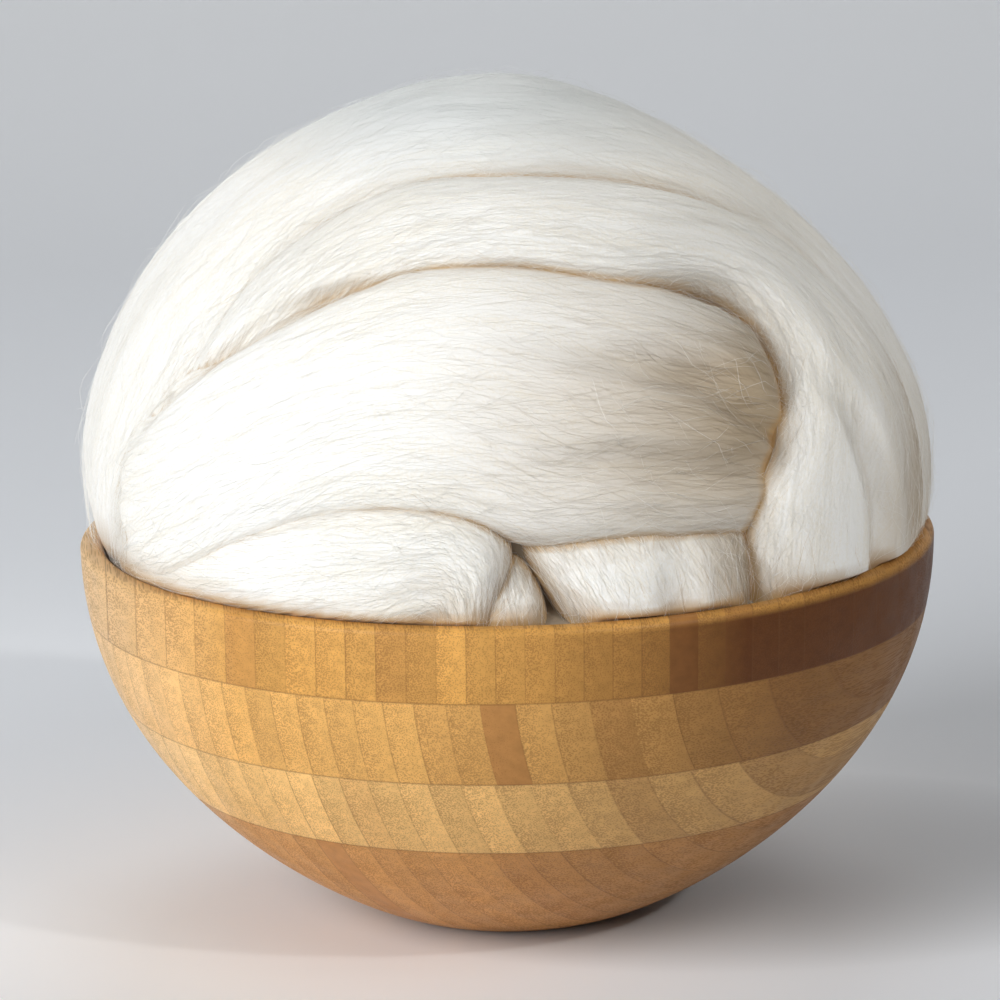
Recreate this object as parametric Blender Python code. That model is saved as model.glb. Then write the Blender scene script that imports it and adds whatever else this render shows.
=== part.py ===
# Combed alpaca top wound into a ball and seated in a turned bamboo bowl.
# Metres, +Z up, the front faces -Y. The origin is the centre of the bowl's flat foot.

import math
from collections import namedtuple

import bmesh
import bpy
from mathutils import Vector
from mathutils.bvhtree import BVHTree

# Bowl
bowl_radius = 0.100
bowl_height = 0.091
foot_radius = 0.027
wall_at_lip = 0.0053
floor_thickness = 0.009
lip_round = 0.0018
lip_steps = 3
shoulder_power = 2.17  # higher is steeper below the lip
belly_power = 1.26  # lower is fuller near the foot
bowl_segments = 64
wall_rings = 13
ring_crowding = 1.9  # higher packs the rings closer to the foot

# Ball of top
ball_centre = Vector((0.0005, 0.0, 0.0975))
ball_radius = 0.0985
core_radius = 0.086
seat_gap = 0.0005  # clear space between the fibre and the bowl
lip_clearance = 0.0007
inside_lip = -4.7  # elevation of the last ring of points inside the bowl
over_lip = -2.9  # elevation of the first ring of points above the lip
lip_overhang_slope = 2.2  # how fast the fibre bulges out above the lip
ball_columns = 104
rings_in_bowl = 11
rings_above = 38
front_crowding = 0.42  # share by which columns crowd towards the front
rows_along = 72
rows_across = 22
edge_power = 2.2  # shape of a wrap's cross section, 2 is an ellipse
furrow_steps = 24
furrow_power = 1.3  # higher is a sharper furrow
cast_from = 0.16  # rays start this far out and look for the outermost wrap
search_steps = 30
softening_passes = 1
millimetre = 0.001
sharp_angle = 40

# One row is one section across a wrap: azimuth and elevation in degrees of its first edge, then of
# its second edge, seen from the ball's centre, the radius of its crown, and how far each edge sinks
# below the crown, in millimetres. Azimuth 0 is the front and 90 the +X side.
Section = namedtuple("Section", "azimuth_a elevation_a azimuth_b elevation_b crown sink_a sink_b")

wraps = {
    # over the top, down both sides
    "cap": (
        Section(-112, -8, -64, -8, 97.0, 10, 10),
        Section(-113, 8, -61, 6, 99.8, 12, 12),
        Section(-116, 26, -55, 20, 100.0, 13, 13),
        Section(-120, 44, -48, 34, 99.8, 13, 13),
        Section(-132, 60, -39, 46.5, 99.5, 13, 13),
        Section(-155, 70, -22, 56.5, 99.8, 13, 12),
        Section(178, 72, 2, 58.5, 99.6, 13, 12),
        Section(150, 68, 32, 57.5, 97.0, 13, 12),
        Section(130, 58, 58, 48, 94.5, 12, 9),
        Section(117, 42, 63, 36, 94.5, 12, 7),
        Section(112, 24, 54, 22, 97.5, 12, 9),
        Section(109, 8, 50, 8, 99.8, 11, 12),
        Section(106, -8, 49, -8, 97.0, 10, 11),
    ),
    # the second wrap, which turns down over the ends of the middle one
    "hood": (
        Section(-72, 2, -62, -2, 92.0, 6, 6),
        Section(-65, 20, -54, 12, 92.0, 5, 6),
        Section(-58, 37, -43, 22, 94.0, 7, 8),
        Section(-48, 50, -33, 32.5, 96.8, 9, 11),
        Section(-30, 61.5, -19, 40, 98.8, 11, 14),
        Section(0, 63.5, 0, 43, 99.0, 11, 13),
        Section(30, 63, 20, 40, 97.8, 11, 13),
        Section(58, 54, 37, 35, 95.5, 9, 12),
        Section(68, 40, 43, 27, 96.0, 8, 12),
        Section(62, 24, 39, 17, 99.0, 9, 14),
        Section(57, 8, 32, 7, 100.0, 11, 15),
        Section(55, -10, 31, -10, 98.5, 11, 14),
    ),
    # the broad middle wrap
    "middle": (
        Section(-86, 16, -84, -12, 92.0, 8, 8),
        Section(-68, 22, -66, -9, 96.5, 11, 8),
        Section(-54, 28.5, -51, -4, 99.4, 13, 8),
        Section(-38, 37, -37, 3, 100.0, 15, 11),
        Section(-19, 46, -22, 8, 99.8, 14, 12),
        Section(0, 48, -8, 8.5, 99.4, 14, 13),
        Section(18, 45.5, 4, 5.5, 98.4, 14, 13),
        Section(32, 41, 17, 5, 97.0, 13, 12),
        Section(43, 35, 30, 3.5, 94.0, 11, 10),
        Section(52, 31, 45, 2, 86.0, 9, 9),
    ),
    # runs in along the lip from the left and turns down into the bowl
    "left_lobe": (
        Section(-78, 6, -78, -20, 92.0, 7, 7),
        Section(-60, 9, -60, -20, 96.0, 9, 7),
        Section(-42, 11, -42, -19, 97.5, 10, 7),
        Section(-26, 14, -29, -16, 98.0, 11, 7),
        Section(-12, 14, -20, -13, 97.5, 11, 7),
        Section(-3, 11, -15, -14, 96.5, 11, 7),
        Section(0.5, 5, -14, -16, 95.5, 11, 7),
        Section(-2.5, -3, -14, -18, 95.0, 11, 7),
        Section(-4, -14, -14, -23, 90.0, 9, 7),
    ),
    # a small fold that stands up from the bowl beside the left lobe
    "small_fold": (
        Section(-6, 8, 1, 8, 90.0, 5, 6),
        Section(-7, 3, 3, 3, 94.0, 6, 8),
        Section(-7, -3, 4.4, -3, 95.5, 6, 9),
        Section(-6, -14, 5, -14, 92.0, 6, 9),
    ),
    # hangs from under the middle wrap into the bowl
    "right_lobe": (
        Section(5, 15, 35, 13, 88.0, 8, 8),
        Section(6.5, 7.5, 34, 7, 95.5, 10, 10),
        Section(7.8, 0, 33.5, 0, 97.5, 11, 12),
        Section(8.2, -8, 33, -8, 96.5, 11, 12),
        Section(8, -18, 32, -18, 92.0, 10, 10),
    ),
    # the plain wraps of the hidden side
    "back_upper": (
        Section(-106, 4, -120, -4, 94.0, 8, 8),
        Section(-112, 32, -126, 17, 96.0, 10, 10),
        Section(-122, 55, -142, 33, 97.5, 11, 12),
        Section(-148, 72, -164, 40, 98.0, 12, 12),
        Section(170, 76, 170, 41, 97.5, 12, 12),
        Section(134, 69, 146, 37, 96.5, 12, 12),
        Section(112, 42, 128, 21, 96.5, 11, 11),
        Section(102, 6, 120, -4, 94.0, 8, 8),
    ),
    "back_middle": (
        Section(-100, 14, -102, -12, 92.0, 8, 8),
        Section(-122, 28, -124, -4, 97.0, 11, 10),
        Section(-146, 40, -148, 4, 99.0, 12, 12),
        Section(-172, 45, -174, 8, 99.5, 13, 12),
        Section(162, 44, 164, 7, 99.0, 13, 12),
        Section(136, 36, 138, 1, 98.0, 12, 11),
        Section(112, 22, 114, -8, 94.0, 8, 8),
    ),
    "back_lower": (
        Section(-92, 6, -92, -20, 93.0, 8, 7),
        Section(-118, 9, -118, -20, 95.5, 9, 7),
        Section(-146, 13, -146, -20, 97.0, 11, 7),
        Section(-176, 15, -176, -20, 97.5, 11, 7),
        Section(154, 14, 154, -20, 97.0, 11, 7),
        Section(126, 10, 126, -20, 95.5, 9, 7),
        Section(98, 6, 98, -20, 93.0, 8, 7),
    ),
}

# One row is one point of a soft furrow: azimuth and elevation in degrees, then depth and half width
# in millimetres.
FurrowPoint = namedtuple("FurrowPoint", "azimuth elevation depth half_width")

furrows = (
    # under the middle wrap's upper roll
    (FurrowPoint(-6, 29, 0.0, 7), FurrowPoint(8, 28, 2.0, 8), FurrowPoint(20, 26, 4.0, 9),
     FurrowPoint(29, 23.5, 5.5, 9), FurrowPoint(37, 18, 5.0, 7)),
    # under its second roll
    (FurrowPoint(2, 16, 0.0, 6), FurrowPoint(12, 15.5, 1.6, 7), FurrowPoint(22, 14, 2.8, 7),
     FurrowPoint(32, 11, 3.4, 6)),
    # down the right lobe
    (FurrowPoint(23, 8, 1.5, 5), FurrowPoint(22.5, 2, 2.4, 5), FurrowPoint(22, -4, 2.4, 5)),
)


def clear_scene():
    for item in list(bpy.data.objects):
        bpy.data.objects.remove(item, do_unlink=True)


def make_material(name, colour, roughness):
    material = bpy.data.materials.new(name)
    material.use_nodes = True
    shader = material.node_tree.nodes["Principled BSDF"]
    shader.inputs["Base Color"].default_value = (*colour, 1.0)
    shader.inputs["Roughness"].default_value = roughness
    shader.inputs["Metallic"].default_value = 0.0
    return material


def make_object(name, mesh_data, material):
    mesh = bpy.data.meshes.new(name)
    mesh_data.to_mesh(mesh)
    mesh_data.free()
    mesh.materials.append(material)
    mesh.shade_smooth()
    mesh.set_sharp_from_angle(angle=math.radians(sharp_angle))
    item = bpy.data.objects.new(name, mesh)
    bpy.context.collection.objects.link(item)
    return item


def wall_radius(share, small, large):
    # Radius of the bowl's curve at a share of its height, from small at the foot to large at the lip.
    climb = 1.0 - (1.0 - min(max(share, 0.0), 1.0)) ** shoulder_power
    return small + (large - small) * climb ** (1.0 / belly_power)


def outer_radius(height):
    return wall_radius(height / bowl_height, foot_radius, bowl_radius)


def inner_radius(height):
    share = (height - floor_thickness) / (bowl_height - floor_thickness)
    return wall_radius(share, foot_radius - wall_at_lip, bowl_radius - wall_at_lip)


def quarter_turn(centre_r, centre_z, start):
    points = []
    for step in range(lip_steps + 1):
        angle = math.radians(start + 90.0 * step / lip_steps)
        points.append((centre_r + lip_round * math.cos(angle), centre_z + lip_round * math.sin(angle)))
    return points


def bowl_profile():
    lip_base = bowl_height - lip_round
    points = [(0.0, 0.0)]
    for ring in range(wall_rings + 1):
        height = lip_base * (ring / wall_rings) ** ring_crowding
        points.append((outer_radius(height), height))
    points += quarter_turn(outer_radius(lip_base) - lip_round, lip_base, 0)[1:]
    points += quarter_turn(inner_radius(lip_base) + lip_round, lip_base, 90)
    for ring in range(wall_rings - 1, -1, -1):
        height = floor_thickness + (lip_base - floor_thickness) * (ring / wall_rings) ** ring_crowding
        points.append((inner_radius(height), height))
    points.append((0.0, floor_thickness))
    return points


def turned(points, segments):
    shape = bmesh.new()
    corners = [shape.verts.new((radius, 0.0, height)) for radius, height in points]
    edges = [shape.edges.new(pair) for pair in zip(corners, corners[1:])]
    bmesh.ops.spin(shape, geom=corners + edges, cent=(0, 0, 0), axis=(0, 0, 1),
                   angle=math.tau, steps=segments, use_merge=True)
    bmesh.ops.remove_doubles(shape, verts=shape.verts[:], dist=0.00001)
    bmesh.ops.recalc_face_normals(shape, faces=shape.faces[:])
    return shape


def toward(azimuth, elevation):
    a, e = math.radians(azimuth), math.radians(elevation)
    return Vector((math.cos(e) * math.sin(a), -math.cos(e) * math.cos(a), math.sin(e)))


def smooth_between(values, place):
    # Catmull-Rom curve through the values, which are numbers or vectors; place runs from 0 to 1.
    last = len(values) - 1
    at = min(max(place, 0.0), 1.0) * last
    index = min(int(at), last - 1)
    t = at - index
    b, c = values[index], values[index + 1]
    a = values[index - 1] if index > 0 else b * 2 - c
    d = values[index + 2] if index + 2 <= last else c * 2 - b
    return (b * 2 + (c - a) * t + (a * 2 - b * 5 + c * 4 - d) * t ** 2
            + (b * 3 - a - c * 3 + d) * t ** 3) * 0.5


def wrap_point(sections, along, across):
    # A point on the outside of a wrap; along and across both run from 0 to 1.
    first = smooth_between([toward(s.azimuth_a, s.elevation_a) for s in sections], along).normalized()
    second = smooth_between([toward(s.azimuth_b, s.elevation_b) for s in sections], along).normalized()
    crown = smooth_between([s.crown for s in sections], along)
    sink = smooth_between([s.sink_a if across < 0.5 else s.sink_b for s in sections], along)
    fall = 1.0 - (1.0 - abs(2.0 * across - 1.0) ** edge_power) ** (1.0 / edge_power)
    return ball_centre + first.slerp(second, across) * (crown - sink * fall) * millimetre


def wrap_surface(sections):
    shape = bmesh.new()
    bmesh.ops.create_grid(shape, x_segments=rows_along, y_segments=rows_across, size=0.5)
    for corner in shape.verts:
        corner.co = wrap_point(sections, corner.co.x + 0.5, corner.co.y + 0.5)
    surface = BVHTree.FromBMesh(shape)
    shape.free()
    return surface


def furrow_marks():
    # Closely spaced marks along every furrow: direction, depth and half width.
    marks = []
    for line in furrows:
        for step in range(furrow_steps + 1):
            place = step / furrow_steps
            direction = smooth_between([toward(p.azimuth, p.elevation) for p in line], place).normalized()
            depth = smooth_between([p.depth for p in line], place)
            marks.append((direction, depth, smooth_between([p.half_width for p in line], place)))
    return marks


def furrow_depth(direction, marks):
    # How far the furrows press in the surface in this direction, in metres.
    deepest = 0.0
    for middle, depth, reach in marks:
        distance = direction.angle(middle) * ball_radius / millimetre
        if distance < reach:
            deepest = max(deepest, depth * (1.0 - distance / reach) ** furrow_power)
    return deepest * millimetre


def clear_of_bowl(direction, radius):
    # The largest radius up to the wanted one that keeps the fibre inside the bowl and off its lip.
    def fits(length):
        point = ball_centre + direction * length
        spread = math.hypot(point.x, point.y)
        if point.z > bowl_height + lip_clearance:
            above = point.z - bowl_height - lip_clearance
            return spread < bowl_radius - wall_at_lip + lip_overhang_slope * above
        if point.z > bowl_height - lip_round:
            return spread < bowl_radius - wall_at_lip - seat_gap
        return point.z > floor_thickness + seat_gap and spread < inner_radius(point.z) - seat_gap
    if fits(radius):
        return radius
    low, high = 0.0, radius
    for _ in range(search_steps):
        middle = (low + high) / 2
        if fits(middle):
            low = middle
        else:
            high = middle
    return low


def wound_ball():
    surfaces = [wrap_surface(sections) for sections in wraps.values()]
    marks = furrow_marks()
    rings = rings_in_bowl + rings_above
    shape = bmesh.new()
    bmesh.ops.create_uvsphere(shape, u_segments=ball_columns, v_segments=rings, radius=1.0)
    for corner in shape.verts:
        turn = math.atan2(corner.co.x, -corner.co.y)
        ring = (math.degrees(math.asin(max(-1.0, min(1.0, corner.co.z)))) + 90.0) / 180.0 * rings
        if round(ring) <= rings_in_bowl:
            elevation = -90.0 + (inside_lip + 90.0) * ring / rings_in_bowl
        else:
            elevation = over_lip + (90.0 - over_lip) * (ring - rings_in_bowl - 1) / (rings_above - 1)
        direction = toward(math.degrees(turn - front_crowding * math.sin(turn)), elevation)
        radius = core_radius
        for surface in surfaces:
            hit = surface.ray_cast(ball_centre + direction * cast_from, -direction)
            if hit[0] is not None:
                radius = max(radius, cast_from - hit[3])
        if elevation < over_lip:
            radius = max(radius, ball_radius)
        corner.co = direction * (radius - furrow_depth(direction, marks))
    for _ in range(softening_passes):
        above = [corner for corner in shape.verts if corner.co.z > 0.0]
        bmesh.ops.smooth_vert(shape, verts=above, factor=0.5, use_axis_x=True, use_axis_y=True,
                              use_axis_z=True)
    for corner in shape.verts:
        direction = corner.co.normalized()
        corner.co = ball_centre + direction * clear_of_bowl(direction, corner.co.length)
    bmesh.ops.recalc_face_normals(shape, faces=shape.faces[:])
    return shape


clear_scene()
bamboo = make_material("bamboo", (0.60, 0.34, 0.13), 0.42)
fibre = make_material("alpaca_fibre", (0.90, 0.87, 0.80), 0.85)
make_object("bowl", turned(bowl_profile(), bowl_segments), bamboo)
make_object("wound_top", wound_ball(), fibre)
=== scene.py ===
# Combed alpaca top in a laminated bamboo bowl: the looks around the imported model.
import math

import bmesh
import bpy
import numpy as np
from mathutils import Matrix, Vector
from mathutils.bvhtree import BVHTree


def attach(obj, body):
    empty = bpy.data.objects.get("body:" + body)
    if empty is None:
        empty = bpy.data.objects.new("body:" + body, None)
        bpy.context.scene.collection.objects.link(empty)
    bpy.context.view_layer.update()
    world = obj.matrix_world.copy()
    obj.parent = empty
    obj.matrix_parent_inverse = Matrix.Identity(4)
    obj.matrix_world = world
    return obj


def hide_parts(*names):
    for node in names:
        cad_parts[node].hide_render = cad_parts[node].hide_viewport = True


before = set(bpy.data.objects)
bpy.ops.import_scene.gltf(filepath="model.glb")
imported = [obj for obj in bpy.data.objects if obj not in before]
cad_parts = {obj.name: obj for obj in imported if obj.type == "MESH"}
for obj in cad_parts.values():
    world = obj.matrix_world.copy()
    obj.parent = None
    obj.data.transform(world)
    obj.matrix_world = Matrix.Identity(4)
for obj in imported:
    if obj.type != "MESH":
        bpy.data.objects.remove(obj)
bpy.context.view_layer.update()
print("frame loaded")

ballCentre = np.array((0.0005, 0.0, 0.0975))
ballRadius = 98.5  # mm
mm = 0.001

bowlSettings = {
    "radius": 0.100,
    "height": 0.091,
    "foot": 0.027,
    "wall": 0.0053,
    "floor": 0.009,
    "lip": 0.0018,
    "shoulderPower": 2.17,
    "bellyPower": 1.26,
    "rings": 44,
    "ringCrowding": 1.6,  # higher packs the rings closer to the foot
    "lipSteps": 8,
    "segments": 160,
}

# columns: azimuth and elevation of the first edge, the same of the second edge,
# crown radius, sink of the first edge, sink of the second edge (degrees, mm)
wraps = {
    "capWrap": (
        (-112, -8, -64, -8, 97, 10, 3),
        (-113, 8, -61, 6, 99.8, 12, 4),
        (-116, 26, -55, 20, 100, 13, 9),
        (-120, 44, -48, 34, 99.8, 13, 8),
        (-132, 60, -39, 46.5, 99.5, 13, 9),
        (-155, 70, -22, 56.5, 99.8, 13, 11),
        (178, 72, 2, 58.5, 99.6, 13, 12),
        (150, 68, 32, 57.5, 97, 13, 12),
        (132, 58, 60, 48, 94.5, 12, 9),
        (124, 42, 72, 37, 94.5, 12, 9),
        (122, 24, 71, 22, 97.5, 12, 11),
        (120, 8, 70, 8, 99.8, 11, 12),
        (118, -8, 70, -8, 98, 10, 11),
        (118, -24, 70, -24, 93, 10, 11),
    ),
    "hoodWrap": (
        (-72, 2, -62, -2, 92, 6, 6),
        (-65, 20, -54, 12, 94.5, 5, 6),
        (-58, 37, -43, 22, 96.5, 7, 8),
        (-48, 50, -33, 32.5, 98, 9, 11),
        (-30, 61.5, -19, 40, 98.8, 11, 14),
        (0, 63.5, 0, 43, 99, 11, 13),
        (30, 63, 20.5, 41, 97.8, 11, 13),
        (60, 54, 41, 39, 96, 9, 12),
        (75, 41, 48, 30.5, 96.3, 7, 12),
        (82, 25, 44, 18, 98.8, 6, 13),
        (84, 8, 36, 7, 100, 6, 14),
        (84, -9, 34.5, -9, 98.5, 6, 13),
        (84, -26, 34.5, -26, 93, 6, 12),
    ),
    "middleWrap": (
        (-86, 16, -84, -12, 92, 8, 8),
        (-68, 22, -66, -9, 97, 11, 8),
        (-54, 28.5, -51, -4, 99.4, 13, 8),
        (-38, 37, -37, 3, 100, 15, 11),
        (-19, 46, -22, 8, 99.8, 14, 12),
        (0, 48, -8, 8.5, 99.4, 14, 13),
        (18, 45.5, 4, 5.5, 98.2, 14, 13),
        (33, 41.5, 17, 5, 97.2, 13, 12),
        (45.5, 36, 31.5, 3.5, 94.6, 11, 10),
        (55, 31, 47.5, 2, 87, 9, 9),
    ),
    "leftLobe": (
        (-78, 6, -78, -20, 92, 5, 7),
        (-60, 9, -60, -20, 96.5, 5, 7),
        (-42, 11, -42, -19, 97.5, 8, 7),
        (-26, 14, -29, -16, 98, 11, 7),
        (-14, 14, -21, -13, 97.5, 11, 7),
        (-5, 12, -17, -9, 96.5, 11, 7),
        (0, 7, -14.5, -7, 96, 11, 7),
        (-0.5, 0, -13, -9, 96, 11, 7),
        (-2.5, -7, -13, -14, 95.5, 10, 7),
        (-4, -15, -14, -22, 91, 9, 7),
    ),
    "smallFold": (
        (-5, 4.5, 0.5, 6.5, 86, 5, 5),
        (-6, 1, 3.2, 2.5, 91, 7, 8),
        (-6.5, -4, 5, -3, 94.5, 7, 9),
        (-6, -14, 6, -12, 92, 7, 9),
    ),
    "rightLobe": (
        (-3, 11.5, 36, 13, 86, 12, 7),
        (-1.5, 7.5, 36.5, 7.5, 91, 15, 10),
        (2.5, 2, 36.5, 1.5, 96, 16, 12),
        (7, -6, 36, -7, 97, 14, 13),
        (8.5, -18, 35.5, -18, 92.5, 12, 11),
    ),
    "backUpper": (
        (-106, 4, -120, -4, 94, 8, 8),
        (-112, 32, -126, 17, 96, 10, 10),
        (-122, 55, -142, 33, 97.5, 11, 12),
        (-148, 72, -164, 40, 98, 12, 12),
        (170, 76, 170, 41, 97.5, 12, 12),
        (134, 69, 146, 37, 96.5, 12, 12),
        (112, 42, 128, 21, 96.5, 11, 11),
        (102, 6, 120, -4, 94, 8, 8),
    ),
    "backMiddle": (
        (-100, 14, -102, -12, 92, 8, 8),
        (-122, 28, -124, -4, 97, 11, 10),
        (-146, 40, -148, 4, 99, 12, 12),
        (-172, 45, -174, 8, 99.5, 13, 12),
        (162, 44, 164, 7, 99, 13, 12),
        (136, 36, 138, 1, 98, 12, 11),
        (112, 22, 114, -8, 94, 8, 8),
    ),
    "backLower": (
        (-92, 6, -92, -20, 93, 8, 7),
        (-118, 9, -118, -20, 95.5, 9, 7),
        (-146, 13, -146, -20, 97, 11, 7),
        (-176, 15, -176, -20, 97.5, 11, 7),
        (154, 14, 154, -20, 97, 11, 7),
        (126, 10, 126, -20, 95.5, 9, 7),
        (98, 6, 98, -20, 93, 8, 7),
    ),
}

# soft furrows and the wraps they lie in
# columns: azimuth, elevation (degrees), depth, half width (mm)
furrows = {
    "upperRoll": (("middleWrap",), (
        (0, 31.5, 0.0, 6), (10, 31, 1.8, 7), (17, 30, 3.6, 7), (24, 28.5, 4.6, 8), (30.4, 26.5, 5.0, 8),
        (35, 23.6, 4.4, 8), (40.2, 19.5, 3.2, 7), (46, 14, 2.0, 6))),
    "lowerRoll": (("middleWrap",), (
        (2, 17.5, 0.0, 6), (14.4, 16.7, 2.4, 6), (22, 15.4, 3.4, 7), (29.5, 14.1, 3.6, 7), (38, 13.8, 3.0, 7),
        (45, 13.5, 2.0, 6))),
    "leftCrease": (("middleWrap", "hoodWrap"), (
        (-61, 16, 0.0, 4), (-58, 20, 2.0, 4), (-52, 25, 2.2, 4), (-46.5, 29.3, 1.6, 4), (-40, 34, 1.2, 3.5),
        (-33, 38.2, 3.0, 3.2), (-28, 40.2, 1.6, 3), (-20, 42.5, 0.0, 3))),
    "lobeDip": (("rightLobe",), ((23, 8, 0.3, 6), (22.5, 2, 1.2, 7), (22, -4, 1.5, 7))),
    "strandSplit": (("hoodWrap",), (
        (50, 27, 0.0, 6), (54.5, 19, 1.8, 7), (56, 12, 3.4, 7.5), (57.5, 5, 4.2, 8), (58, -3, 4.2, 8))),
}

# how finely each wrap is made, and its real length and girth in metres
wrapMesh = {
    "capWrap": {"around": 150, "along": 126, "length": 0.39, "girth": 0.16, "roundness": 2.3},
    "hoodWrap": {"around": 130, "along": 130, "length": 0.37, "girth": 0.09, "lean": 3.0, "roundness": 2.3},
    "middleWrap": {"around": 150, "along": 110, "length": 0.24, "girth": 0.14},
    "leftLobe": {"around": 90, "along": 90, "length": 0.16, "girth": 0.09},
    "smallFold": {"around": 48, "along": 40, "length": 0.04, "girth": 0.05},
    "rightLobe": {"around": 90, "along": 60, "length": 0.06, "girth": 0.11},
    "backUpper": {"around": 96, "along": 90, "length": 0.34, "girth": 0.11},
    "backMiddle": {"around": 96, "along": 80, "length": 0.26, "girth": 0.12},
    "backLower": {"around": 80, "along": 80, "length": 0.28, "girth": 0.12},
}

wrapForm = {
    "edgePower": 2.7,
    "outerShare": 0.76,  # share of the points that lie on the outside
    "innerDepth": 5.0,  # mm below the edges
    "coreDepth": 6.0,  # mm below the outside
    "girthShown": 0.6,  # share of a wrap's girth that is its outside
    "endTaper": 0.10,
    # height of the unevenness in mm, and its length and width in metres
    "swell": (0.8, 0.045, 0.014),
    "groove": (0.14, 0.05, 0.0042),
    "fineGroove": (0.03, 0.03, 0.0019),
    "furrowPower": 1.7,
    "furrowSteps": 40,
}

# clear space between the fibre and the bowl, and how fast the fibre may spread over the lip
seatGap = 0.0004
lipOverhangSlope = 2.2


# turns azimuth and elevation in degrees into unit directions
def toward(azimuth, elevation):
    a, e = np.radians(azimuth), np.radians(elevation)
    return np.stack((np.cos(e) * np.sin(a), -np.cos(e) * np.cos(a), np.sin(e)), axis=-1)


def unit(vectors):
    return vectors / np.linalg.norm(vectors, axis=-1, keepdims=True)


# smooth curve through the rows of values, read at places from 0 to 1
def smoothBetween(values, place):
    values = np.asarray(values, dtype=float)
    if values.ndim == 1:
        return smoothBetween(values[:, None], place)[..., 0]
    padded = np.vstack((2 * values[0] - values[1], values, 2 * values[-1] - values[-2]))
    at = np.clip(place, 0, 1) * (len(values) - 1)
    index = np.minimum(at.astype(int), len(values) - 2)
    t = (at - index)[..., None]
    a, b, c, d = (padded[index + k] for k in range(4))
    return 0.5 * (2 * b + (c - a) * t + (2 * a - 5 * b + 4 * c - d) * t**2
                  + (3 * b - a - 3 * c + d) * t**3)


# smooth random field that is stretched along a wrap, between -1 and 1
def streaks(along, across, alongCells, acrossCells, seed):
    cells = np.random.RandomState(seed).uniform(-1, 1, (alongCells + 3, acrossCells + 3))
    x, y = np.clip(along, 0, 1) * alongCells, np.clip(across, 0, 1) * acrossCells
    i, j = x.astype(int), y.astype(int)
    s, t = x - i, y - j
    s, t = s * s * (3 - 2 * s), t * t * (3 - 2 * t)
    return ((cells[i, j] * (1 - s) + cells[i + 1, j] * s) * (1 - t)
            + (cells[i, j + 1] * (1 - s) + cells[i + 1, j + 1] * s) * t)


# each furrow as a close row of round dips
def furrowMarks():
    marks = []
    for names, line in furrows.values():
        columns = np.array(line, dtype=float)
        place = np.linspace(0, 1, wrapForm["furrowSteps"] + 1)
        directions = unit(smoothBetween(toward(columns[:, 0], columns[:, 1]), place))
        depth, reach = smoothBetween(columns[:, 2], place), smoothBetween(columns[:, 3], place)
        marks.append((names, directions, depth, reach))
    return marks


allFurrows = furrowMarks()


def furrowDepth(name, directions):
    deepest = np.zeros(directions.shape[:-1])
    for names, marks, depth, reach in allFurrows:
        for mark, d, r in zip(marks, depth, reach) if name in names else ():
            distance = np.arccos(np.clip(directions @ mark, -1, 1)) * ballRadius
            share = 1 - np.clip(distance / r, 0, 1) ** 2
            deepest = np.maximum(deepest, d * share ** wrapForm["furrowPower"])
    return deepest


def wallRadius(share, small, large):
    climb = 1 - (1 - np.clip(share, 0, 1)) ** bowlSettings["shoulderPower"]
    return small + (large - small) * climb ** (1 / bowlSettings["bellyPower"])


def outerRadius(height):
    return wallRadius(height / bowlSettings["height"], bowlSettings["foot"], bowlSettings["radius"])


def innerRadius(height):
    b = bowlSettings
    share = (height - b["floor"]) / (b["height"] - b["floor"])
    return wallRadius(share, b["foot"] - b["wall"], b["radius"] - b["wall"])


# pulls points towards the ball's centre until they are clear of the bowl and its lip
def clearOfBowl(points):
    b = bowlSettings
    offset = points - ballCentre
    length = np.linalg.norm(offset, axis=-1)
    direction = offset / np.maximum(length, 1e-9)[..., None]

    lipBase = b["height"] - b["lip"]
    around = b["lip"] + seatGap

    def fits(r):
        p = ballCentre + direction * r[..., None]
        spread = np.hypot(p[..., 0], p[..., 1])
        above = p[..., 2] - lipBase
        inside = (spread < innerRadius(p[..., 2]) - seatGap) & (p[..., 2] > b["floor"] + seatGap)
        lipEdge = b["radius"] - b["wall"] + b["lip"]
        atLip = spread < lipEdge - np.sqrt(np.clip(around**2 - above**2, 0, None))
        over = spread < lipEdge + lipOverhangSlope * (above - around)
        return np.where(above > around, over, np.where(above > 0, atLip, inside))

    lowest, highest = np.zeros_like(length), length.copy()
    good = fits(length)
    for _ in range(24):
        middle = (lowest + highest) / 2
        ok = fits(middle)
        lowest, highest = np.where(ok, middle, lowest), np.where(ok, highest, middle)
    return ballCentre + direction * np.where(good, length, lowest)[..., None]


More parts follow.
